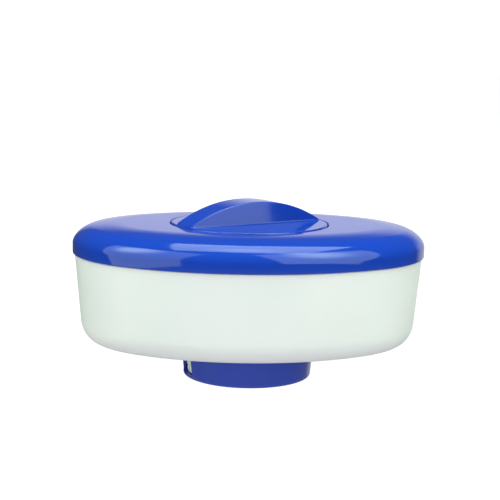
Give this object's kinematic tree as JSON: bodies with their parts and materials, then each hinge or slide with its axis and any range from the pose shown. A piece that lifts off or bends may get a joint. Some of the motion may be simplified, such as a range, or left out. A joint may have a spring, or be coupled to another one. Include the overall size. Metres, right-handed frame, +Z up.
{
  "type": "floating chlorine dispenser",
  "caption": "Oval float with a slotted tablet canister through its middle, a screw cap with an arched grip on top and a turning flow collar below.",
  "frame": {"origin": "centre of the flow collar's underside, which is the centre of the object's base", "axes": "+X along the oval's long way, -Y towards the front, +Z up through the cap"},
  "size_m": [0.235, 0.175, 0.1182],
  "materials": {
    "blue_cover": "polished injection moulding",
    "blue_cap": "polished injection moulding",
    "blue_collar": "satin injection moulding",
    "white_tub": "milky satin moulding",
    "white_canister": "satin moulding",
    "seal": "moulded rubber"
  },
  "bodies": {
    "float_body": {"top_cover": "blue_cover", "float_tub": "white_tub", "cover_gasket": "seal", "tablet_canister": "white_canister", "neck_gasket": "seal", "canister_seal": "seal"},
    "cap_seal": {"cap_gasket": "seal"},
    "cap": {"filler_cap": "blue_cap"},
    "collar": {"flow_collar": "blue_collar"}
  },
  "joints": [
    {"name": "cap_lift", "type": "slide", "parent": "float_body", "child": "cap_seal", "axis": [0, 0, 1], "range_m": [0, 0.0601]},
    {"name": "cap_turn", "type": "hinge", "parent": "cap_seal", "child": "cap", "pos_m": [0, 0, 0.1], "axis": [0, 0, 1], "range_deg": [0, 360]},
    {"name": "collar_turn", "type": "hinge", "parent": "float_body", "child": "collar", "pos_m": [0, 0, 0.01], "axis": [0, 0, 1], "range_deg": [0, 40]}
  ],
  "couplings": [
    {"joint": "cap_lift", "follows": "cap_turn", "m_per_rad": 0.0095493}
  ]
}
